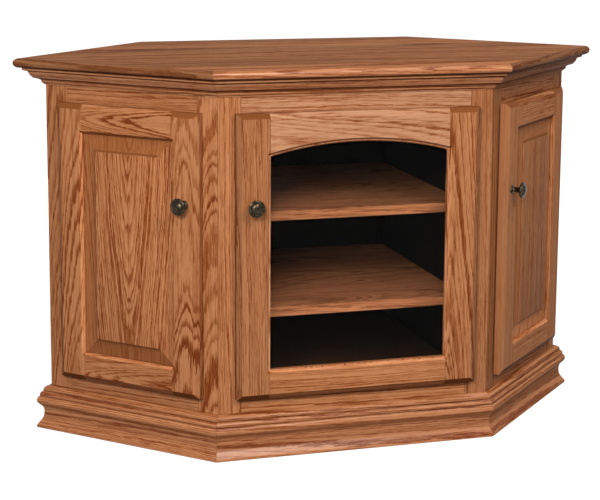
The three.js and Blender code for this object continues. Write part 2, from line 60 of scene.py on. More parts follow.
# Puts points and faces into a mesh that rides on a body. The faces are turned outwards: the solid's volume
# is the sum over its triangles of a . (b x c) / 6, and where that is negative every face is reversed.
# creases give each point its share of darkening: gathered stain and painted shade.
def meshPiece(name, points, faces, materials, body, replaced=(), slotName=None, smoothAngle=30,
              faceMaterial=None, creases=None):
    points = np.asarray(points, float)
    faces = [tuple(int(i) for i in face) for face in faces]
    mesh = bpy.data.meshes.new(name)
    mesh.from_pydata(points.tolist(), [], faces)
    mesh.calc_loop_triangles()
    corners = np.zeros(len(mesh.loop_triangles) * 3, np.int32)
    mesh.loop_triangles.foreach_get("vertices", corners)
    a, b, c = (points[corners[i::3]] for i in range(3))
    if np.einsum("ij,ij->", a, np.cross(b, c)) < 0:
        mesh.flip_normals()
    mesh.validate()
    for material in materials:
        mesh.materials.append(material)
    if faceMaterial is not None:
        mesh.polygons.foreach_set("material_index", np.asarray(faceMaterial, np.int32))
    if creases is not None:
        darkenedByStainAndShade = mesh.attributes.new("crease", "FLOAT", "POINT").data
        darkenedByStainAndShade.foreach_set("value", np.asarray(creases, np.float32).ravel())
    mesh.shade_smooth()
    mesh.set_sharp_from_angle(angle=math.radians(smoothAngle))
    piece = addObject(name, mesh)
    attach(piece, body)
    if replaced:
        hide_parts(*replaced)
    return piece


# Quads between successive rings of count points: ring r, point i joins i + 1 and ring r + 1.
def gridFaces(rings, count, closed=True):
    r, i = np.meshgrid(np.arange(rings - 1), np.arange(count if closed else count - 1), indexing="ij")
    j = (i + 1) % count
    quads = np.stack([r * count + i, r * count + j, (r + 1) * count + j, (r + 1) * count + i], -1)
    return quads.reshape(-1, 4)


# A closed surface through rings, an array of rings x points x 3, with a flat face over each end ring.
def loftPiece(name, rings, *rest, **options):
    rings = np.asarray(rings, float)
    count = rings.shape[1]
    faces = gridFaces(len(rings), count).tolist()
    last = (len(rings) - 1) * count
    faces.append(list(range(count))[::-1])
    faces.append([last + i for i in range(count)])
    return meshPiece(name, rings.reshape(-1, 3), faces, *rest, **options)


# A surface of revolution: profile rows are (radius, distance out), and the point at turn t is
# place @ (radius cos t, radius sin t, out, 1). The first and last row sit on the axis as one point each.
def turnedPiece(name, profile, place, steps, *rest, **options):
    profile = np.asarray(profile, float)
    turn = np.linspace(0, 2 * np.pi, steps, endpoint=False)
    inner = profile[1:-1]
    ring = np.stack([
        inner[:, :1] * np.cos(turn), inner[:, :1] * np.sin(turn), np.repeat(inner[:, 1:], steps, 1)], -1)
    points = np.vstack([ring.reshape(-1, 3), [[0, 0, profile[0, 1]], [0, 0, profile[-1, 1]]]])
    faces = gridFaces(len(inner), steps).tolist()
    first, last = len(points) - 2, len(points) - 1
    base = (len(inner) - 1) * steps
    faces += [[first, (i + 1) % steps, i] for i in range(steps)]
    faces += [[last, base + i, base + (i + 1) % steps] for i in range(steps)]
    matrix = np.array(place)
    points = points @ matrix[:3, :3].T + matrix[:3, 3]
    return meshPiece(name, points, faces, *rest, **options)


# Points through rows of (across, up, bend, stain and shade) shares. A bend is the tangent of a quarter of the
# arc's
# angle: the arc's point at share t of that angle lies sin(angle (t - 1/2)) / (2 sin(angle / 2)) + 1/2 of the
# chord along, and (cos(angle (t - 1/2)) - cos(angle / 2)) / (2 sin(angle / 2)) of it aside.
# The third column carries how dark the point is made: stain gathered there, and painted shade.
def curvedOutline(shares, width, height, steps=9):
    points = [np.array([shares[0][0] * width, shares[0][1] * height, shares[0][3]])]
    for u, v, bend, crease in shares[1:]:
        end = np.array([u * width, v * height, crease])
        if bend:
            start, angle = points[-1], 4 * math.atan(bend)
            chord = end - start
            t = (np.arange(1, steps) / steps)[:, None]
            across = np.sin(angle * (t - 0.5)) / (2 * math.sin(angle / 2)) + 0.5
            aside = (np.cos(angle * (t - 0.5)) - math.cos(angle / 2)) / (2 * math.sin(angle / 2))
            points += list(start + across * chord - aside * np.array([-chord[1], chord[0], 0]))
        points.append(end)
    return np.array(points)


# Materials

def link(tree, value, socket):
    if isinstance(value, bpy.types.NodeSocket):
        tree.links.new(value, socket)
    elif value is not None:
        socket.default_value = value


# Adds a node, sets its options, and links or sets its inputs by name or number.
def node(tree, kind, values=(), **settings):
    made = tree.nodes.new(kind)
    for key, value in settings.items():
        setattr(made, key, value)
    for key, value in dict(values).items():
        link(tree, value, made.inputs[key])
    return made


def calc(tree, operation, *values, clamp=False):
    made = node(tree, "ShaderNodeMath", enumerate(values), operation=operation, use_clamp=clamp)
    return made.outputs[0]


def vectorCalc(tree, operation, *values):
    made = node(tree, "ShaderNodeVectorMath", enumerate(values), operation=operation)
    return made.outputs[1 if operation in ("DOT_PRODUCT", "LENGTH") else 0]


def scaled(tree, vector, factor):
    made = node(tree, "ShaderNodeVectorMath", {0: vector, 3: factor}, operation="SCALE")
    return made.outputs[0]


def smooth(tree, value, low, high):
    made = node(tree, "ShaderNodeMapRange", {0: value, 1: low, 2: high}, interpolation_type="SMOOTHSTEP")
    return made.outputs[0]


def mixColour(tree, share, first, second):
    made = node(tree, "ShaderNodeMix", {0: share, 6: first, 7: second}, data_type="RGBA")
    return made.outputs[2]


def noise(tree, vector, scale, detail=2, rough=0.5):
    inputs = {"Vector": vector, "Scale": scale, "Detail": detail, "Roughness": rough}
    return node(tree, "ShaderNodeTexNoise", inputs).outputs[0]


# Noise through millimetres, its clouds one length along the grain and another across it.
def grainNoise(tree, vector, along, across, detail=2, rough=0.5):
    place = vectorCalc(tree, "MULTIPLY", vector, (1 / along, 1 / across, 1 / across))
    return noise(tree, place, 1, detail, rough)


# A colour written as it is seen, 0 to 255, made linear.
def rgb(red, green, blue):
    shares = (red / 255, green / 255, blue / 255)
    linear = [c / 12.92 if c <= 0.04045 else ((c + 0.055) / 1.055) ** 2.4 for c in shares]
    return (*linear, 1)


# The same colour made lighter or darker, its alpha left at one.
def toned(colour, factor):
    return [*(Vector(colour[:3]) * factor), 1]


def newMaterial(name):
    made = bpy.data.materials.new(name)
    made.use_nodes = True
    return made, made.node_tree, made.node_tree.nodes["Principled BSDF"]


def newGroup(name, inputs, outputs):
    tree = bpy.data.node_groups.new(name, "ShaderNodeTree")
    for label, kind, value in inputs:
        made = tree.interface.new_socket(label, in_out="INPUT", socket_type=kind)
        if value is not None:
            made.default_value = value
    for label, kind in outputs:
        tree.interface.new_socket(label, in_out="OUTPUT", socket_type=kind)
    return tree, tree.nodes.new("NodeGroupInput").outputs, tree.nodes.new("NodeGroupOutput").inputs


# A noise is millimetres along and across the grain, detail and roughness; an edge is where a mark fades in.
oakFigure = {
    "staveSlide": 3000, "staveShift": (171, 293, 117),
    "bend": (520, 90, 2, 0.45), "bendReach": 26, "ragged": (46, 3.0, 3, 0.65), "raggedReach": 1.1,
    "yearStep": 0.31, "yearReach": 3.4,
    "earlyEnd": (0.12, 0.5), "earlyStart": (0.93, 1.0), "earlyChance": 0.9, "earlyLeast": 0.36,
    "pore": (26, 1.5, 3, 0.7), "poreEdge": (0.5, 0.62),
    "streak": (190, 4.6, 3, 0.7), "streakEdge": (0.43, 0.63), "cloud": (420, 45),
    "busy": (300, 17), "busyEdge": (0.3, 0.66), "busyShare": 0.85, "busyLeast": 0.35,
    "ringPores": 0.35, "ringLeast": 0.62, "streakShare": 0.3,
    "endFleck": 0.5, "endLeast": 0.75, "darkenedByStainAndShade": 0.6,
    "poresInRing": 0.8, "poresBetween": 0.2, "earlyDepth": 0.25,
}


# Oak as a solid: rings round a heart that lies beside the board and tapers along it. Each ring starts with
# open early wood, dark with pores, and ends with dense late wood. The vector is in metres, grain first.
def makeOakGroup():
    f = oakFigure
    real, colour, vector = "NodeSocketFloat", "NodeSocketColor", "NodeSocketVector"
    tree, given, out = newGroup("oakFigure", [
        ("Vector", vector, None), ("End Grain", real, 0), ("Seed", real, 0), ("Stave Width", real, 400),
        ("Stave Spread", real, 20), ("Heart Depth", real, 45), ("Heart Aside", real, 0), ("Taper", real, 0.06),
        ("Ring Width", real, 3.6), ("Ring Strength", real, 1), ("Streak Strength", real, 1),
        ("Tone Spread", real, 0.12), ("Stain And Shade", real, 0), ("Pale", colour, (0.6, 0.3, 0.15, 1)),
        ("Stain", colour, (0.7, 0.5, 0.4, 1)), ("End", colour, (0.1, 0.04, 0.02, 1)),
    ], [("Color", colour), ("Pores", real), ("Height", real)])
    parts = node(tree, "ShaderNodeSeparateXYZ", {0: scaled(tree, given["Vector"], 1 / mm)}).outputs
    stave = calc(tree, "DIVIDE", parts[1], given["Stave Width"])
    stave = calc(tree, "FLOOR", calc(tree, "ADD", stave, 0.5))
    own = node(tree, "ShaderNodeCombineXYZ", {0: stave, 1: given["Seed"]}).outputs[0]
    random = node(tree, "ShaderNodeTexWhiteNoise", {"Vector": own}, noise_dimensions="3D").outputs["Color"]
    chance = node(tree, "ShaderNodeSeparateColor", {0: random}).outputs
    acrossStave = calc(tree, "SUBTRACT", parts[1], calc(tree, "MULTIPLY", stave, given["Stave Width"]))
    along = calc(tree, "MULTIPLY_ADD", chance[2], f["staveSlide"], parts[0])
    drift = calc(tree, "MULTIPLY", calc(tree, "SUBTRACT", chance[0], 0.5), given["Stave Spread"])
    away = calc(tree, "ADD", calc(tree, "ADD", acrossStave, drift), given["Heart Aside"])
    deep = calc(tree, "ADD", parts[2], given["Heart Depth"])
    moved = node(tree, "ShaderNodeCombineXYZ", {0: along, 1: acrossStave, 2: parts[2]}).outputs[0]
    moved = vectorCalc(tree, "ADD", moved, vectorCalc(tree, "MULTIPLY", own, f["staveShift"]))
    # the trunk's slow bends, then the ragged edge that the pores give each ring
    bend = calc(tree, "SUBTRACT", grainNoise(tree, moved, *f["bend"]), 0.5)
    radius = calc(tree, "SQRT", calc(tree, "MULTIPLY_ADD", away, away, calc(tree, "MULTIPLY", deep, deep)))
    radius = calc(tree, "MULTIPLY_ADD", bend, f["bendReach"], radius)
    radius = calc(tree, "MULTIPLY_ADD", along, given["Taper"], radius)
    ragged = calc(tree, "SUBTRACT", grainNoise(tree, moved, *f["ragged"]), 0.5)
    rings = calc(tree, "DIVIDE", radius, given["Ring Width"])
    step = {"W": calc(tree, "MULTIPLY", rings, f["yearStep"]), "Scale": 1, "Detail": 1}
    years = node(tree, "ShaderNodeTexNoise", step, noise_dimensions="1D").outputs[0]
    rings = calc(tree, "MULTIPLY_ADD", years, f["yearReach"], rings)
    rings = calc(tree, "MULTIPLY_ADD", ragged, f["raggedReach"], rings)
    share = calc(tree, "FRACT", rings)
    ringNumber = {"W": calc(tree, "FLOOR", rings)}
    ringOwn = node(tree, "ShaderNodeTexWhiteNoise", ringNumber, noise_dimensions="1D").outputs[0]
    early = calc(tree, "SUBTRACT", 1, smooth(tree, share, *f["earlyEnd"]))
    early = calc(tree, "MAXIMUM", early, smooth(tree, share, *f["earlyStart"]))
    strength = calc(tree, "MULTIPLY_ADD", ringOwn, f["earlyChance"], f["earlyLeast"])
    early = calc(tree, "MULTIPLY", early, strength)
    fine = grainNoise(tree, moved, *f["pore"])
    poreShare = smooth(tree, fine, *f["poreEdge"])
    streaks = smooth(tree, grainNoise(tree, moved, *f["streak"]), *f["streakEdge"])
    cloud = grainNoise(tree, moved, *f["cloud"])
    busy = smooth(tree, grainNoise(tree, moved, *f["busy"]), *f["busyEdge"])
    ringDark = calc(tree, "MULTIPLY_ADD", poreShare, f["ringPores"], f["ringLeast"])
    ringDark = calc(tree, "MULTIPLY", calc(tree, "MULTIPLY", early, ringDark), given["Ring Strength"])
    streakDark = calc(tree, "MULTIPLY", calc(tree, "ADD", streaks, poreShare), f["streakShare"])
    crowd = calc(tree, "MULTIPLY_ADD", busy, f["busyShare"], f["busyLeast"])
    streakDark = calc(tree, "MULTIPLY", streakDark, crowd)
    dark = calc(tree, "MULTIPLY_ADD", streakDark, given["Streak Strength"], ringDark, clamp=True)
    # stain absorbs: the pale wood is multiplied by the stain's tint as often as the mask asks, up to twice
    tint = mixColour(tree, dark, (1, 1, 1, 1), given["Stain"])
    shade = vectorCalc(tree, "MULTIPLY", vectorCalc(tree, "MULTIPLY", tint, tint), given["Pale"])
    tone = calc(tree, "ADD", calc(tree, "SUBTRACT", chance[1], 0.5), calc(tree, "SUBTRACT", cloud, 0.5))
    tone = calc(tree, "MULTIPLY_ADD", tone, given["Tone Spread"], 1)
    endShade = scaled(tree, given["End"], calc(tree, "MULTIPLY_ADD", fine, f["endFleck"], f["endLeast"]))
    shade = mixColour(tree, given["End Grain"], scaled(tree, shade, tone), endShade)
    # where Stain And Shade asks, the colour is darkened: gathered stain and painted shade
    darkenedByStainAndShade = vectorCalc(tree, "MULTIPLY", given["Stain"], given["Stain"])
    darkenedByStainAndShade = scaled(tree, vectorCalc(tree, "MULTIPLY", shade, darkenedByStainAndShade), f["darkenedByStainAndShade"])
    link(tree, mixColour(tree, given["Stain And Shade"], shade, darkenedByStainAndShade), out["Color"])
    pores = calc(tree, "MULTIPLY_ADD", early, f["poresInRing"], f["poresBetween"])
    pores = calc(tree, "MULTIPLY", poreShare, pores)
    link(tree, pores, out["Pores"])
    hollow = calc(tree, "MULTIPLY_ADD", early, f["earlyDepth"], pores)
    link(tree, calc(tree, "SUBTRACT", 1, hollow), out["Height"])
    return tree


oakGroup = makeOakGroup()

oakLook = {
    "pale": rgb(181, 121, 80),
    "dark": rgb(110, 48, 11),
    "end": rgb(130, 75, 39),
    "roughness": 0.45,
    "sheen": 0.015,
    "coat": 0.2,
    "coatRoughness": 0.3,
    "poreDepth": 0.2 * mm,
    "under": 0.12,
}
# doors take a stronger painted shade on their downward faces
doorLook = dict(oakLook, under=0.7)
mouldingLook = dict(oakLook, coat=0.5)
# a paler, less saturated colour on the two top rails, painted to stand for the sheen on them
sheenPaintedLook = dict(doorLook, pale=rgb(182, 132, 99))
shelfLook = dict(oakLook, pale=rgb(160, 102, 68), dark=rgb(96, 50, 24), roughness=0.5, coat=0.0)
# the floor board inside is made much darker than the shelves, as painted shade
shadedFloorLook = dict(shelfLook, pale=rgb(54, 32, 21), dark=rgb(28, 16, 10), end=rgb(30, 18, 12))
# the inner sheets are stained near black, and made darker still as painted shade
darkStainedShadedLook = dict(oakLook, pale=rgb(13, 11, 9), dark=rgb(7, 6, 5), end=rgb(7, 6, 5), roughness=0.7, coat=0.0)
plyLook = dict(shelfLook, pale=rgb(158, 114, 78), dark=rgb(118, 76, 46), end=rgb(112, 78, 52), roughness=0.65)

# How a board was sawn: where the tree's heart lay from it, and so what shows on its face
flatSawn = dict(depth=26, aside=4, taper=0.1, ring=6.8)
heartSawn = dict(depth=9, aside=6, taper=-0.085, ring=5.0)
riftSawn = dict(depth=70, aside=150, taper=0.02, ring=4.4)
quarterSawn = dict(depth=8, aside=260, taper=0.01, ring=3.8)

oakSurface = {  # edges are cosines to the way that a face has to look, over which its mark fades in
    "seedStep": 0.37, "endEdge": (0.02, 0.5), "underEdge": (0.12, 0.6), "bevelEdge": (0.3, 0.5),
    "sideEdge": (0.75, 0.95), "chamferEdge": (0.55, 0.7), "poreRoughness": 0.2, "poreBare": 0.85,
    "grazingEdge": (0.42, 0.66), "bump": 0.5,
}


# The middle of a CAD node's box, which centres the figure on its board.
def middleOf(nodeName):
    low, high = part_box(nodeName)
    return (low + high) / 2


# Oak for one piece: along is the way its grain runs and across the way its board is wide, in the row frame.
def oakMaterial(name, look, along, across, centre, seed, stave=600, staveSpread=20, depth=45, aside=0,
                taper=0.06, ring=4, tone=1.0, spread=0.12, rings=1.0, streaks=1.0, endShare=0.0, rim=None,
                rimShadeAndHighlight=(0, 0, 1)):
    made, tree, shader = newMaterial(name)
    s = oakSurface
    where = node(tree, "ShaderNodeTexCoord").outputs
    x = Vector(along).normalized()
    y = Vector(across).normalized()
    turn = Matrix((x, y, x.cross(y)))
    start = Vector((seed * s["seedStep"], 0, 0)) - turn @ Vector(centre)
    mapped = node(tree, "ShaderNodeMapping", {
        "Vector": where["Object"], "Rotation": turn.to_euler(), "Location": start}).outputs[0]
    lean = calc(tree, "ABSOLUTE", vectorCalc(tree, "DOT_PRODUCT", where["Normal"], x))
    end = calc(tree, "MAXIMUM", smooth(tree, lean, *s["endEdge"]), endShare)
    # painted shade: faces that look downward are darkened, as shadow would darken them
    under = smooth(tree, vectorCalc(tree, "DOT_PRODUCT", where["Normal"], (0, 0, -1)), *s["underEdge"])
    # crease darkens hollows: gathered stain, with painted shade where shadow falls
    crease = node(tree, "ShaderNodeAttribute", attribute_name="crease").outputs["Fac"]
    crease = calc(tree, "MAXIMUM", crease, calc(tree, "MULTIPLY", under, look["under"]))
    pale = toned(look["pale"], tone)
    if rim is not None:
        # rim points out of the door over this board: its shaped edge and side get painted shade, its inner
        # chamfer a painted highlight
        bevelShade, sideShade, chamferHighlight = rimShadeAndHighlight
        edge = vectorCalc(tree, "DOT_PRODUCT", where["Normal"], rim)
        shadedEdge = calc(tree, "MULTIPLY", smooth(tree, edge, *s["sideEdge"]), sideShade)
        shadedEdge = calc(tree, "MULTIPLY_ADD", smooth(tree, edge, *s["bevelEdge"]), bevelShade, shadedEdge)
        crease = calc(tree, "MAXIMUM", crease, shadedEdge)
        chamfer = smooth(tree, calc(tree, "MULTIPLY", edge, -1), *s["chamferEdge"])
        pale = mixColour(tree, chamfer, pale, toned(pale, chamferHighlight))
    figure = node(tree, "ShaderNodeGroup", {
        "Vector": mapped, "End Grain": end, "Seed": seed, "Stave Width": stave, "Stave Spread": staveSpread,
        "Heart Depth": depth, "Heart Aside": aside, "Taper": taper, "Ring Width": ring, "Ring Strength": rings,
        "Streak Strength": streaks, "Tone Spread": spread, "Stain And Shade": crease, "Pale": pale,
        "Stain": [math.sqrt(deep / light) for deep, light in zip(look["dark"], look["pale"])],
        "End": toned(look["end"], tone),
    }, node_tree=oakGroup)
    pores = figure.outputs["Pores"]
    link(tree, figure.outputs["Color"], shader.inputs["Base Color"])
    rough = calc(tree, "MULTIPLY_ADD", pores, s["poreRoughness"], look["roughness"])
    link(tree, rough, shader.inputs["Roughness"])
    # the varnish shows where it is looked at squarely, and not on end grain
    grazing = node(tree, "ShaderNodeLayerWeight", {"Blend": 0.5}).outputs["Facing"]
    bare = calc(tree, "MAXIMUM", smooth(tree, grazing, *s["grazingEdge"]), calc(tree, "MAXIMUM", end, crease))
    bare = calc(tree, "MAXIMUM", bare, calc(tree, "MULTIPLY", pores, s["poreBare"]))
    varnish = calc(tree, "MULTIPLY", calc(tree, "SUBTRACT", 1, bare), look["coat"])
    link(tree, varnish, shader.inputs["Coat Weight"])
    bump = node(tree, "ShaderNodeBump", {
        "Strength": s["bump"], "Distance": look["poreDepth"], "Height": figure.outputs["Height"]})
    link(tree, bump.outputs[0], shader.inputs["Normal"])
    shader.inputs["Specular IOR Level"].default_value = look["sheen"]
    shader.inputs["Coat Roughness"].default_value = look["coatRoughness"]
    return made


cloudyMetal = {
    "noise": (3, 0.6), "edge": (0.35, 0.7), "roughness": 0.12, "bump": 0.25, "bumpDepth": 0.05 * mm,
}
clearGlass = {
    "colour": (0.97, 0.985, 0.98, 1), "index": 1.08,
    "smears": (9, 3, 0.6), "edge": (0.45, 0.8), "roughness": 0.02,
}


# Cast or plated metal, or rubber, with small cloudy changes of tone and roughness.
def makeMetal(name, colour, worn, roughness, grainSize, metallic=1):
    made, tree, shader = newMaterial(name)
    place = node(tree, "ShaderNodeTexCoord").outputs["Object"]
    cloud = noise(tree, place, 1 / grainSize, *cloudyMetal["noise"])
    share = smooth(tree, cloud, *cloudyMetal["edge"])
    link(tree, mixColour(tree, share, colour, worn), shader.inputs["Base Color"])
    rough = calc(tree, "MULTIPLY_ADD", share, cloudyMetal["roughness"], roughness)
    link(tree, rough, shader.inputs["Roughness"])
    bump = node(tree, "ShaderNodeBump", {
        "Strength": cloudyMetal["bump"], "Distance": cloudyMetal["bumpDepth"], "Height": cloud})
    link(tree, bump.outputs[0], shader.inputs["Normal"])
    shader.inputs["Metallic"].default_value = metallic
    return made


# Clear glass, a little less smooth where it was wiped.
def makeGlass():
    made, tree, shader = newMaterial("clearGlass")
    place = node(tree, "ShaderNodeTexCoord").outputs["Object"]
    smear = smooth(tree, noise(tree, place, *clearGlass["smears"]), *clearGlass["edge"])
    link(tree, calc(tree, "MULTIPLY", smear, clearGlass["roughness"]), shader.inputs["Roughness"])
    shader.inputs["Base Color"].default_value = clearGlass["colour"]
    shader.inputs["Metallic"].default_value = 0
    shader.inputs["Transmission Weight"].default_value = 1
    shader.inputs["IOR"].default_value = clearGlass["index"]
    return made


pewter = makeMetal("darkPewter", rgb(42, 36, 28), rgb(74, 64, 50), 0.24, 5 * mm)
hingeSteel = makeMetal("hingeSteel", rgb(190, 190, 188), rgb(172, 172, 170), 0.22, 8 * mm)
bumperRubber = makeMetal("bumperRubber", rgb(62, 48, 38), rgb(84, 68, 54), 0.55, 3 * mm, metallic=0)
glass = makeGlass()
print("materials made")


# Copies of the CAD's boards with their edges eased

easing = {"flatWithin": 0.4, "sharperThan": 25, "sharpShade": 30, "segments": 2}  # degrees, but for the last
boardEase, sheetEase, hingeEase = 0.6 * mm, 0.3 * mm, 0.15 * mm


# A copy of a CAD node with its loose triangles joined, its flat faces made whole and its edges rounded.
# Where inward is given, the faces that look another way get the outside material.
def easedCopy(nodeName, material, body, ease, inward=None, outside=None):
    source = nodes[nodeName].data
    count = len(source.vertices)
    places = np.zeros(count * 3)
    source.vertices.foreach_get("co", places)
    keys, back = np.unique(np.round(places.reshape(-1, 3), 6), axis=0, return_inverse=True)
    corners = np.zeros(len(source.loops), np.int32)
    source.loops.foreach_get("vertex_index", corners)
    triangles = back.ravel()[corners].reshape(-1, 3)
    mesh = bpy.data.meshes.new(nodeName + "_eased")
    mesh.from_pydata(keys.tolist(), [], triangles.tolist())
    work = bmesh.new()
    work.from_mesh(mesh)
    bmesh.ops.dissolve_limit(work, angle_limit=math.radians(easing["flatWithin"]),
                             use_dissolve_boundaries=False, verts=work.verts, edges=work.edges)
    work.to_mesh(mesh)
    work.free()
    mesh.materials.append(material)
    if inward is not None:
        mesh.materials.append(outside)
        inward = Vector(inward).normalized()
        for face in mesh.polygons:
            face.material_index = int(face.normal.dot(inward) < 0.5)
    mesh.shade_smooth()
    mesh.set_sharp_from_angle(angle=math.radians(easing["sharpShade"]))
    piece = addObject(nodeName + "_eased", mesh)
    rounding = piece.modifiers.new("Ease", "BEVEL")
    rounding.width = ease
    rounding.segments = easing["segments"]
    rounding.limit_method = "ANGLE"
    rounding.angle_limit = math.radians(easing["sharperThan"])
    rounding.use_clamp_overlap = True
    rounding.harden_normals = True
    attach(piece, body)
    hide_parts(nodeName)
    return piece


alongX, alongY, alongZ = (1, 0, 0), (0, 1, 0), (0, 0, 1)
sideAlong = {"left": (-1, 1, 0), "right": (1, 1, 0)}

rails = {"top_rail": riftSawn, "bottom_rail": riftSawn}
frameFigures = {  # how the boards of each face frame are sawn
    "front": {
        "left_stile": dict(riftSawn, tone=1.02),
        # the right stile's lower tone is painted light: it darkens as the light falls off across the front
        "right_stile": dict(riftSawn, rings=0.7, streaks=0.8, tone=0.84),
        **rails,
    },
    "left": {
        "inner_stile": dict(flatSawn, aside=14, depth=34, ring=9, taper=0.16, rings=1.15),
        "outer_stile": flatSawn,
        **rails,
    },
    "right": {
        # its lower tone is painted shade, where the right door shades this stile
        "inner_stile": dict(quarterSawn, tone=0.78),
        "outer_stile": flatSawn,
        **rails,
    },
}
frameSeed = 0
for face, boards in frameFigures.items():
    level = sideAlong.get(face, alongX)
    for board, figure in boards.items():
        frameSeed += 1
        name = f"{face}_frame_{board}"
        along, across = (alongZ, level) if board.endswith("stile") else (level, alongZ)
        look = sheenPaintedLook if name == "front_frame_top_rail" else oakLook
        oak = oakMaterial(name + "_oak", look, along, across, middleOf(name), seed=frameSeed, **figure)
        easedCopy(name, oak, "case", boardEase)

doorLevel = {"left_door": sideAlong["left"], "centre_door": alongX, "right_door": sideAlong["right"]}
doorFigures = {
    "left_door": {
        "hinge_stile": dict(flatSawn, aside=26),
        "knob_stile": dict(flatSawn, rings=1.3, ring=7.6),
        "top_rail": dict(flatSawn, rings=1.2),
        "bottom_rail": dict(flatSawn, aside=14),
    },
    "centre_door": {
        "hinge_stile": dict(flatSawn, aside=32, tone=0.93),
        "knob_stile": dict(riftSawn, rings=0.85, tone=0.81),
        "top_rail": dict(flatSawn, rings=0.8, streaks=0.65, aside=22, ring=10),
        "bottom_rail": dict(riftSawn, tone=1.09),
    },
    "right_door": {
        "hinge_stile": quarterSawn,
        "knob_stile": dict(quarterSawn, rings=0.3, streaks=0.45, tone=0.94),
        "top_rail": dict(riftSawn, rings=0.6),
        "bottom_rail": dict(riftSawn, rings=0.7),
    },
}
# How much painted shade a board's bevel and side get, and how much its inner chamfer is lightened as a painted
# highlight
stileShadeAndHighlight = {
    "left_door": (0.22, 0.05, 1.3),
    "centre_door": (0.3, 0.12, 1.3),
    "right_door": (0.18, 0.12, 0.95),
}
railShadeAndHighlight = (0, 0.3, 1.3)
outerBoards = ("hinge_stile", "top_rail")  # their rims face the way that the door's level or upward axis points
for doorSeed, (door, boards) in zip((20, 25, 30), doorFigures.items()):
    level = doorLevel[door]
    for seed, (board, figure) in enumerate(boards.items(), doorSeed):
        name = f"{door}_{board}"
        upright = board.endswith("stile")
        along, across = (alongZ, level) if upright else (level, alongZ)
        rim = Vector(across).normalized() * (1 if board in outerBoards else -1)
        look = sheenPaintedLook if name == "centre_door_top_rail" else doorLook
        oak = oakMaterial(name + "_oak", look, along, across, middleOf(name), seed=seed, rim=rim,
                          rimShadeAndHighlight=stileShadeAndHighlight[door] if upright else railShadeAndHighlight, **figure)
        easedCopy(name, oak, door, boardEase)

gluedStaves = dict(stave=110, staveSpread=80, depth=60)
shelves = ("floor_board", "upper_shelf", "lower_shelf", "left_side_shelf", "right_side_shelf")
for seed, name in enumerate(shelves, 40):
    look = shadedFloorLook if name == "floor_board" else shelfLook
    oak = oakMaterial(name + "_oak", look, alongX, alongY, middleOf(name), seed=seed, **gluedStaves)
    easedCopy(name, oak, "case", boardEase)

sheetVeneer = dict(stave=240, staveSpread=120, depth=70)
sheets = {  # the way across, and the way into the cabinet where the other face is bare plywood
    "back_panel": (alongX, (0, -1, 0)),
    "left_wall_panel": (sideAlong["right"], (1, -1, 0)),
    "right_wall_panel": (sideAlong["left"], (-1, -1, 0)),
    "left_partition": (alongY, None),
    "right_partition": (alongY, None),
}
for seed, (name, (across, inward)) in enumerate(sheets.items(), 50):
    dark = oakMaterial(name + "_dark", darkStainedShadedLook, alongZ, across, middleOf(name), seed=seed, **sheetVeneer)
    bare = None
    if inward is not None:
        bare = oakMaterial(name + "_ply", plyLook, alongZ, across, middleOf(name), seed=seed, **sheetVeneer)
    easedCopy(name, dark, "case", sheetEase, inward=inward, outside=bare)
print("boards eased and given their grain")


# The top board

plan = {"frontWidth": 560, "sideLength": 400, "wallLength": 378, "height": 762}
root2 = math.sqrt(2)
cornerX = plan["frontWidth"] / 2
sideX = cornerX + plan["sideLength"] / root2
sideY = plan["sideLength"] / root2
backY = sideY + plan["wallLength"] / root2


# Millimetres drawn from the front frame's face, as metres in the row frame.
def rowPoints(points):
    points = np.asarray(points, float) * mm
    points[..., 1] += frontFace
    return points


def frontAndSide(front, side):
    return cornerX - front + side * root2, -front


def sideAndWall(side, wall):
    x = (cornerX + sideX + sideY + (side + wall) * root2) / 2
    return x, x - cornerX - side * root2


def wallAndBack(wall, back):
    y = backY + back
    return sideX + sideY + wall * root2 - y, y


# The plan's six corners, moved out by each distance, at each height: an array of rings x 6 x 3.
def hexagonRings(outs, heights):
    rings = []
    for out, z in zip(outs, heights):
        right = [frontAndSide(out, out), sideAndWall(out, out), wallAndBack(out, out)]
        ring = right + [(-x, y) for x, y in right[::-1]]
        rings.append([(x, y, z) for x, y in ring])
    return rowPoints(rings)


topBoard = {
    "thickness": 19, "overhang": 46, "steps": 24,
    "shadeFrom": 26, "shadeOver": 22, "shadeMost": 0.85,  # painted shade on the nose's underside: degrees below the nose's middle, and a share
}
topLook = dict(oakLook, roughness=0.5, coat=0.0, sheen=0.004)
noseLook = dict(mouldingLook, end=rgb(110, 62, 32))
topFigure = dict(seed=60, stave=96, staveSpread=220, depth=60, taper=0.03, spread=0.5, streaks=0.9)


# The plan moved out by overhang - r (1 - cos t) at height r (1 + sin t), t from -90 to 90 degrees.
def makeTop():
    turn = np.linspace(-np.pi / 2, np.pi / 2, topBoard["steps"] + 1)
    r = topBoard["thickness"] / 2
    outs = topBoard["overhang"] - r * (1 - np.cos(turn))
    heights = plan["height"] - 2 * r + r * (1 + np.sin(turn))
    centre = middleOf("top_board")
    flat = oakMaterial("top_oak", topLook, alongX, alongY, centre, ring=15, tone=0.93, **topFigure)
    nose = oakMaterial("top_nose_oak", noseLook, alongX, alongY, centre, ring=5, **topFigure)
    # the angled sides' noses are toned down as painted shade
    sides = [oakMaterial(f"top_{side}_nose_oak", oakLook, sideAlong[side], alongZ, centre, ring=5, tone=0.62,
                         **topFigure) for side in ("right", "left")]
    # the nose's six sides on every ring, then the underside and the flat top
    faceMaterial = [2, 1, 1, 1, 3, 1] * topBoard["steps"] + [1, 0]
    below = (-np.degrees(turn) - topBoard["shadeFrom"]) / topBoard["shadeOver"]
    creases = np.repeat(np.clip(below, 0, topBoard["shadeMost"]), 6)
    loftPiece("top", hexagonRings(outs, heights), [flat, nose, *sides], "case", ("top_board",), "stained_oak",
              smoothAngle=35, faceMaterial=faceMaterial, creases=creases)


makeTop()


# Crown and base mouldings

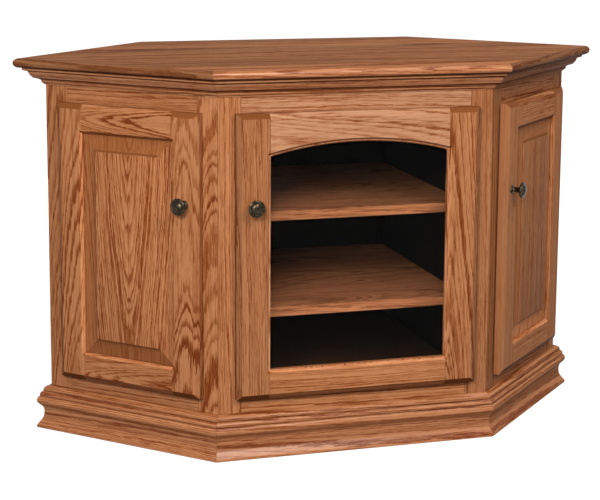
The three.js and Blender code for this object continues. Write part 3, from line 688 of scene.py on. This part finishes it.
seam = 0.3  # between the mouldings' lengths, and round the case and under the top
crownHeight = 34
crownFoot = plan["height"] - topBoard["thickness"] - seam - crownHeight
crown = {
    "height": crownHeight, "reach": 33, "return": 34, "z": crownFoot,
    "paintedSideLight": {"left": 1.0, "right": 1.0},
    "shares": [  # out, up, bend, and gathered stain with painted shade
        (0, 0, 0, 0), (0.06, 0, 0, 0), (0.065, 0.04, 0, 0), (0.075, 0.06, 0, 0.8), (0.11, 0.07, 0, 0.6),
        (0.13, 0.1, 0, 0), (0.18, 0.21, 0.36, 0), (0.18, 0.23, 0, 0.8), (0.2, 0.25, 0, 0.3),
        (0.32, 0.335, -0.2, 0.25), (0.34, 0.345, 0, 0.9), (0.52, 0.4, 0, 0.8), (0.545, 0.42, 0, 0.1),
        (0.58, 0.47, 0.1, 0), (0.74, 0.76, 0.14, 0), (0.75, 0.785, 0, 0.8), (0.95, 0.85, 0, 0.9),
        (0.985, 0.865, 0, 0.4), (1, 0.885, 0, 0), (1, 0.97, 0, 0), (0.99, 1, 0, 0.4), (0, 1, 0, 1),
    ],
}
base = {
    "height": 89, "reach": 22, "return": 30, "z": 0,
    # the side runs' tones are painted light, lightening the base's sides
    "paintedSideLight": {"left": 1.06, "right": 1.2},
    "shares": [
        (0, 0, 0, 0), (0.97, 0, 0, 0), (1, 0.015, 0.3, 0), (0.96, 0.07, 0.12, 0), (0.63, 0.2, -0.02, 0.14),
        (0.5, 0.31, -0.1, 0.3), (0.5, 0.43, -0.07, 0.02), (0.66, 0.515, -0.12, 0), (0.92, 0.59, 0.03, 0),
        (0.96, 0.65, 0.2, 0), (0.88, 0.72, 0.16, 0), (0.79, 0.742, 0.06, 0.4), (0.755, 0.748, 0, 0.95),
        (0.757, 0.77, 0.04, 0.2), (0.7, 0.826, 0.2, 0), (0.57, 0.856, 0.1, 0.4), (0.525, 0.862, 0, 0.95),
        (0.52, 0.885, 0.04, 0.2), (0.45, 0.94, 0.22, 0), (0.24, 0.98, 0.06, 0), (0.03, 0.998, 0, 0.2),
        (0, 1, 0, 0.8),
    ],
}


# The profile carried past the plan's corners: at each corner a point that stands out by d lies where both
# faces, moved out by d, meet. Side lengths turn once more and return along the wall.
def makeMoulding(name, shape, seed):
    profile = curvedOutline(shape["shares"], shape["reach"], shape["height"])
    out, z = profile[:, 0] + seam, profile[:, 1] + shape["z"]
    x, y = frontAndSide(out, out)
    frontEnd = np.stack([x - seam / 2, y, z], -1)
    sideStart = np.stack([x + seam / root2, y + seam / root2, z], -1)
    turnX, turnY = sideAndWall(out, out)
    corner = np.stack([turnX, turnY, z], -1)
    stop = np.stack([sideX + (out - shape["return"]) / root2, sideY + (out + shape["return"]) / root2, z], -1)
    flip = np.array([-1, 1, 1])
    centre = middleOf(name + "_front")
    oak = oakMaterial(name + "_front_oak", mouldingLook, alongX, alongZ, centre, seed=seed, **riftSawn)
    loftPiece(name + "_front_run", rowPoints([frontEnd * flip, frontEnd]), [oak], "case",
              (name + "_front",), "stained_oak", smoothAngle=28, creases=np.tile(profile[:, 2], 2))
    count = len(profile)
    faceMaterial = [0] * count + [1] * count + [0, 1]
    for runSeed, (side, other, sign) in enumerate((("left", "right", flip), ("right", "left", 1)), seed + 1):
        centre = middleOf(f"{name}_{side}")
        runOak = oakMaterial(f"{name}_{side}_oak", mouldingLook, sideAlong[side], alongZ, centre, seed=runSeed,
                             tone=shape["paintedSideLight"][side], **riftSawn)
        endOak = oakMaterial(f"{name}_{side}_return_oak", mouldingLook, sideAlong[other], alongZ, centre,
                             seed=runSeed + 2, **riftSawn)
        rings = rowPoints([sideStart * sign, corner * sign, stop * sign])
        loftPiece(f"{name}_{side}_run", rings, [runOak, endOak], "case", (f"{name}_{side}",), "stained_oak",
                  smoothAngle=28, faceMaterial=faceMaterial, creases=np.tile(profile[:, 2], len(rings)))


makeMoulding("crown_moulding", crown, 70)
makeMoulding("base_moulding", base, 80)
print("top and mouldings made")


# Raised panels

sidePanel = {
    "width": 330, "height": 559, "stile": 60, "rail": 57, "start": 31, "bottom": 118, "gap": 2.4,
    "thickness": 19, "tongueLap": 9, "tongueFront": 10.7, "tongueBack": 5.5, "back": 3, "field": 33, "step": 2,
    "setback": 1, "hollow": 3.2, "atFrame": 0.3,
    "border": [  # share of the way from the field to the frame, and gathered stain with painted shade
        (0, 0.5), (0.05, 0.25), (0.12, 0.1), (0.22, 0), (0.34, 0), (0.48, 0), (0.64, 0), (0.8, 0), (0.94, 0),
        (1, 0.5),
    ],
}
panelFigures = {"left": heartSawn, "right": dict(quarterSawn, rings=0.5)}
panelPaintedLight = {  # share of end-grain colour and tone of each face, set as painted light and shade; far and near are as seen from the front corner
    "left": {
        "field": (0, 1.13), "bottom": (0.72, 0.92), "far": (0.5, 1.06), "top": (0.72, 1.2), "near": (0, 1.12),
    },
    "right": {
        "field": (0, 0.79), "bottom": (0.1, 1.3), "far": (0, 1.15), "top": (0.5, 1.0), "near": (0.3, 0.95),
    },
}


# A side door's own frame: x runs along the side from the front corner, y out of the cabinet's face, z up.
def doorPlace(side):
    sign = -1 if side == "left" else 1
    start = Vector((sign * cornerX * mm, frontFace, 0))
    along = Vector((sign, 1, 0)).normalized()
    outward = Vector((sign, -1, 0)).normalized()
    return start, along, outward


# Rectangles inset from the opening, each at its own depth: the border falls from the field's step in a
# hollow, depth = start + fall (1 - (1 - t) ^ hollow), to the tongue in the frame's groove. The upper and lower
# borders cut across the grain; each border takes its own share of end-grain colour and its own tone, set to
# paint the light and shade that it gets.
def makePanel(side, seed):
    p = sidePanel
    fieldDepth = p["setback"] + p["step"]
    grooveFront, grooveBack = p["thickness"] - p["tongueFront"], p["thickness"] - p["tongueBack"]
    rows = [  # inset, depth, and gathered stain with painted shade: the field's rounded edge first
        (p["field"] + 0.7, p["setback"], 0), (p["field"] + 0.2, p["setback"] + 0.15, 0),
        (p["field"], p["setback"] + 0.6, 0.1),
    ]
    for t, crease in p["border"]:
        depth = fieldDepth + (grooveFront - fieldDepth) * (1 - (1 - t) ** p["hollow"])
        rows.append((p["field"] * (1 - t) + p["atFrame"] * t, depth, crease))
    rows += [(-p["tongueLap"], grooveFront, 1), (-p["tongueLap"], grooveBack, 0)]
    rows += [(p["tongueLap"] / 2, grooveBack, 0), (p["tongueLap"], p["thickness"] - p["back"], 0)]
    start, along, outward = doorPlace(side)
    left = p["start"] + p["stile"]
    right = p["start"] + p["width"] - p["stile"]
    low, high = p["bottom"] + p["rail"], p["bottom"] + p["height"] - p["rail"]
    rings = []
    for inset, depth, _ in rows:
        out = p["gap"] + p["thickness"] - depth
        rings.append([(left + inset, low + inset, out), (right - inset, low + inset, out),
                      (right - inset, high - inset, out), (left + inset, high - inset, out)])
    flat = np.array(rings) * mm
    points = np.array(start) + flat[..., :1] * np.array(along) + flat[..., 2:] * np.array(outward)
    points[..., 2] += flat[..., 1]
    name = side + "_door_raised_panel"
    oaks = [oakMaterial(f"{name}_{part}_oak", oakLook, alongZ, sideAlong[side], middleOf(name), seed=seed,
                        tone=tone, endShare=share, **panelFigures[side])
            for part, (share, tone) in panelPaintedLight[side].items()]
    faceMaterial = np.zeros((len(rows) - 1, 4), int)
    faceMaterial[3:2 + len(p["border"])] = (1, 2, 3, 4)
    creases = np.repeat([crease for _, _, crease in rows], 4)
    loftPiece(side + "_door_panel", points, oaks, side + "_door", (name,), "stained_oak", smoothAngle=20,
              faceMaterial=[*faceMaterial.ravel(), 0, 0], creases=creases)


makePanel("left", 90)
makePanel("right", 92)


# The small rounded bead that holds the glass

glazing = {
    "halfWidth": 182, "bottom": 175, "crest": 620, "rise": 24, "steps": 40, "front": 21.4,
    "profile": [  # outside the opening, behind the door's face, and gathered stain with painted shade
        (-2.6, 7.7, 0.8), (-2.6, 6.6, 0.2), (-2.3, 5.4, 0), (-1.5, 4.5, 0), (-0.4, 4.1, 0), (0.8, 4.0, 0),
        (1.6, 4.1, 0.2), (2.1, 4.5, 1), (2.4, 5.4, 1), (2.4, 7.7, 1),
    ],
}


# Each profile row goes once round the opening, grown by its own distance: over a chord of half width h the
# arch has radius (h^2 + rise^2) / (2 rise).
def makeGlazingBead():
    g = glazing
    rows = []
    for grow, depth, _ in g["profile"]:
        half, low = g["halfWidth"] + grow, g["bottom"] - grow
        radius = (g["halfWidth"] ** 2 + g["rise"] ** 2) / (2 * g["rise"]) + grow
        turn = math.asin(half / radius) * np.linspace(1, -1, g["steps"] + 1)
        arch = np.stack([radius * np.sin(turn), g["crest"] + grow - radius + radius * np.cos(turn)], -1)
        path = np.vstack([[(-half, low), (half, low)], arch])
        rows.append(np.stack([path[:, 0], np.full(len(path), depth - g["front"]), path[:, 1]], -1))
    rings = rowPoints(rows)
    count = rings.shape[1]
    faces = gridFaces(len(rings), count).tolist()
    last = (len(rings) - 1) * count
    faces += [[last + i, last + (i + 1) % count, (i + 1) % count, i] for i in range(count)]
    oak = oakMaterial("glass_bead_oak", dict(oakLook, pale=rgb(196, 140, 104)), alongZ, alongX,
                      middleOf("centre_door_glass"), seed=95, **riftSawn)
    creases = np.repeat([crease for _, _, crease in g["profile"]], count)
    meshPiece("glass_bead", rings.reshape(-1, 3), faces, [oak], "centre_door", slotName="stained_oak",
              smoothAngle=40, creases=creases)


makeGlazingBead()


# Knobs

knob = {
    "fromEdge": 30, "height": 500, "steps": 64,
    "profile": [  # radius and distance out from the door's face
        (0, 0.3), (8.5, 0.3), (8.6, 0.9), (8.4, 1.6), (7.6, 2.3), (7.5, 3.0), (6.6, 3.6), (5.7, 5.0),
        (5.1, 7.5), (5.0, 10.5), (5.3, 13.0), (6.3, 15.2), (8.2, 17.0), (10.6, 18.4), (13.4, 19.6),
        (15.4, 20.7), (16.3, 21.9), (16.5, 22.9), (16.4, 23.8), (15.9, 24.7), (14.6, 25.3), (13.0, 25.7),
        (12.2, 25.75), (11.8, 25.3), (11.3, 25.35), (10.9, 26.2), (9.6, 27.4), (7.4, 28.6), (4.8, 29.5),
        (2.2, 29.9), (0, 30),
    ],
}


# A smooth curve through the rows: each span is the Catmull-Rom cubic of its two ends and their neighbours.
def softened(rows, steps=3):
    rows = np.asarray(rows, float)
    padded = np.vstack([rows[:1], rows, rows[-1:]])
    a, b, c, d = padded[:-3], padded[1:-2], padded[2:-1], padded[3:]
    t = (np.arange(steps) / steps)[None, :, None]
    a, b, c, d = (p[:, None, :] for p in (a, b, c, d))
    curve = 0.5 * (2 * b + (c - a) * t + (2 * a - 5 * b + 4 * c - d) * t**2 + (3 * b - a - 3 * c + d) * t**3)
    return np.vstack([curve.reshape(-1, 2), rows[-1:]])


# A frame whose z axis points outward from origin and whose x axis is level.
def facing(origin, outward):
    z = Vector(outward).normalized()
    x = Vector((0, 0, 1)).cross(z).normalized()
    y = z.cross(x)
    made = Matrix.Identity(4)
    for column, axis in enumerate((x, y, z)):
        for row in range(3):
            made[row][column] = axis[row]
    made.translation = Vector(origin)
    return made


doorFront = sidePanel["gap"] + sidePanel["thickness"]


def makeKnobs():
    profile = softened(knob["profile"]) * mm
    profile[:, 0] = np.maximum(profile[:, 0], 0)
    for door in doorLevel:
        low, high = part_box(door + "_knob")
        if door == "centre_door":
            outward = Vector((0, -1, 0))
            origin = Vector(((low.x + high.x) / 2, frontFace - doorFront * mm, knob["height"] * mm))
        else:
            start, along, outward = doorPlace(door.split("_")[0])
            reach = sidePanel["start"] + knob["fromEdge"]
            origin = start + along * reach * mm + outward * doorFront * mm
            origin.z = knob["height"] * mm
        turnedPiece(door + "_pull", profile, facing(origin, outward), knob["steps"], [pewter], door,
                    (door + "_knob",), "dark_pewter", smoothAngle=50)


makeKnobs()
for door in doorLevel:
    for end in ("upper", "lower"):
        easedCopy(f"{door}_{end}_hinge_cup", hingeSteel, door, hingeEase)
        easedCopy(f"{door}_{end}_hinge_arm", hingeSteel, "case", hingeEase)


# Hinge screws and door bumpers

trim = {  # placed from the hinge edge of a door's back: across it, into the cabinet, and up
    "hingeEnd": 88, "earScrew": (20.5, 1.3, 24), "plateScrew": (15.0, 12.2, 13), "headSteps": 20,
    "head": [(0, 0.75), (1.3, 0.75), (1.5, 1.15), (2.4, 1.05), (3.0, 0.7), (3.2, 0), (3.1, -0.4), (0, -0.4)],
    "bumper": [(0, 2.0), (3.0, 1.95), (3.8, 1.5), (4.2, 0.8), (4.3, 0), (0, 0)], "bumperSteps": 24,
    "bumperFromEdge": (6, 12),
}
doorWidths = {"left_door": sidePanel["width"], "centre_door": 494, "right_door": sidePanel["width"]}


# The hinge edge at the door's back, and the ways across the door and into the cabinet.
def doorBack(door):
    if door == "centre_door":
        corner = Vector((doorWidths[door] / 2 * mm, frontFace - sidePanel["gap"] * mm, 0))
        return corner, Vector((-1, 0, 0)), Vector((0, 1, 0))
    start, along, outward = doorPlace(door.split("_")[0])
    reach = sidePanel["start"] + sidePanel["width"]
    return start + along * reach * mm + outward * sidePanel["gap"] * mm, -along, -outward


def makeTrims():
    head, bumper = (np.array(trim[key]) * mm for key in ("head", "bumper"))
    bottom, height = sidePanel["bottom"], sidePanel["height"]
    for door, width in doorWidths.items():
        origin, across, inward = doorBack(door)
        for end, middle in (("lower", trim["hingeEnd"]), ("upper", height - trim["hingeEnd"])):
            for label, body, way in (("earScrew", door, inward), ("plateScrew", "case", across)):
                x, y, reach = trim[label]
                for number, rise in enumerate((-reach, reach), 1):
                    place = origin + (across * x + inward * y) * mm
                    place.z = (bottom + middle + rise) * mm
                    turnedPiece(f"{door}_{end}_{label}_{number}", head, facing(place, way), trim["headSteps"],
                                [hingeSteel], body, slotName="hinge_steel", smoothAngle=40)
        aside, rise = trim["bumperFromEdge"]
        for number, up in enumerate((rise, height - rise), 1):
            place = origin + across * (width - aside) * mm
            place.z = (bottom + up) * mm
            turnedPiece(f"{door}_bumper_{number}", bumper, facing(place, inward), trim["bumperSteps"],
                        [bumperRubber], door, smoothAngle=50)


makeTrims()
nodes["centre_door_glass"].data.materials.clear()
nodes["centre_door_glass"].data.materials.append(glass)
print("panels, knobs and hinges made")


# Floor, light and camera

studio = {
    "floorReach": 14, "floorDrop": 0.5 * mm, "paper": 0.22, "paperRoughness": 0.9,
    "nearWhite": 0.9, "farWhite": 1.04, "whiteFrom": (0.8, 2.2), "ambient": 0.09,
}


# One where the camera, a reflection or the glass shows the background, which is white there.
def backgroundSeen(tree):
    rays = node(tree, "ShaderNodeLightPath").outputs
    seen = calc(tree, "MAXIMUM", rays["Is Camera Ray"], rays["Is Glossy Ray"])
    return calc(tree, "MAXIMUM", seen, rays["Is Transmission Ray"])


# A pale sheet that is lit plainly near the cabinet and is white from a few metres on.
def makeFloor():
    reach, low = studio["floorReach"], -studio["floorDrop"]
    corners = [(-reach, -reach, low), (reach, -reach, low), (reach, reach, low), (-reach, reach, low)]
    mesh = bpy.data.meshes.new("studioFloor")
    mesh.from_pydata(corners, [], [(0, 1, 2, 3)])
    made, tree, shader = newMaterial("studioFloorPaper")
    shader.inputs["Base Color"].default_value = (*[studio["paper"]] * 3, 1)
    shader.inputs["Roughness"].default_value = studio["paperRoughness"]
    shader.inputs["Specular IOR Level"].default_value = 0
    shader.inputs["Emission Color"].default_value = (1, 1, 1, 1)
    place = node(tree, "ShaderNodeTexCoord").outputs["Object"]
    away = smooth(tree, vectorCalc(tree, "LENGTH", place), *studio["whiteFrom"])
    white = calc(tree, "MULTIPLY_ADD", away, studio["farWhite"] - studio["nearWhite"], studio["nearWhite"])
    link(tree, calc(tree, "MULTIPLY", backgroundSeen(tree), white), shader.inputs["Emission Strength"])
    mesh.materials.append(made)
    floor = addObject("studioFloor", mesh)


def makeWorld():
    world = bpy.data.worlds.new("studio")
    bpy.context.scene.world = world
    world.use_nodes = True
    tree = world.node_tree
    back = tree.nodes["Background"]
    back.inputs["Color"].default_value = (1, 1, 1, 1)
    strength = calc(tree, "MULTIPLY_ADD", backgroundSeen(tree), 1 - studio["ambient"], studio["ambient"])
    link(tree, strength, back.inputs["Strength"])


lamps = {
    "keyPanel": {"place": (-1.8, -3.3, 2.0), "aim": (0, -0.1, 0.4), "size": (1.2, 1.0), "power": 131},
    "sheenPanel": {"place": (0.66, -3.1, 2.6), "aim": (0, -0.2, 0.4), "size": (0.45, 1.2), "power": 62},
    "topPanel": {"place": (1.5, -0.7, 2.8), "aim": (0.1, 0, 0.7), "size": (1.2, 0.8), "power": 23},
    "backPanel": {"place": (0, 3.0, 0.42), "aim": (0, 0, 0.4), "size": (1.8, 0.6), "power": 60},
}


def makeLights():
    for name, lamp in lamps.items():
        light = bpy.data.lights.new(name, "AREA")
        light.shape = "RECTANGLE"
        light.size, light.size_y = lamp["size"]
        light.energy = lamp["power"]
        made = addObject(name, light)
        aim = Vector(lamp["aim"]) - Vector(lamp["place"])
        made.location = lamp["place"]
        made.rotation_euler = aim.to_track_quat("-Z", "Y").to_euler()


camera = {  # millimetres from the front frame's face, degrees, and pixels of a 600 x 500 picture
    "place": (-989.78, -2943.66, 1087.17), "yaw": 16.51, "pitch": 9.32, "roll": 0.37,
    "focal": 1622.58, "centre": (300, 159.71), "width": 600, "height": 500,
    "sensor": 36, "clip": (0.05, 60),  # millimetres, and metres
}


# Looks along (sin yaw cos pitch, cos yaw cos pitch, -sin pitch). The lens is shifted by the share of the
# width that lies between the picture's middle and the point where that line meets it.
def makeCamera():
    yaw, pitch, roll = (math.radians(camera[key]) for key in ("yaw", "pitch", "roll"))
    forward = Vector((math.sin(yaw) * math.cos(pitch), math.cos(yaw) * math.cos(pitch), -math.sin(pitch)))
    right = Vector((math.cos(yaw), -math.sin(yaw), 0))
    up = right.cross(forward)
    rolled = right * math.cos(roll) + up * math.sin(roll)
    up = rolled.cross(forward)
    data = bpy.data.cameras.new("photographCamera")
    data.sensor_width = camera["sensor"]
    data.lens = data.sensor_width * camera["focal"] / camera["width"]
    data.shift_x = (camera["width"] / 2 - camera["centre"][0]) / camera["width"]
    data.shift_y = (camera["centre"][1] - camera["height"] / 2) / camera["width"]
    data.clip_start, data.clip_end = camera["clip"]
    made = addObject("photographCamera", data)
    turn = Matrix((rolled, up, -forward)).transposed()
    made.matrix_world = Matrix.Translation(rowPoints(camera["place"])) @ turn.to_4x4()
    bpy.context.scene.camera = made


makeFloor()
makeWorld()
makeLights()
makeCamera()
bpy.context.scene.view_settings.view_transform = "Standard"
print("studio ready")

bpy.context.view_layer.update()
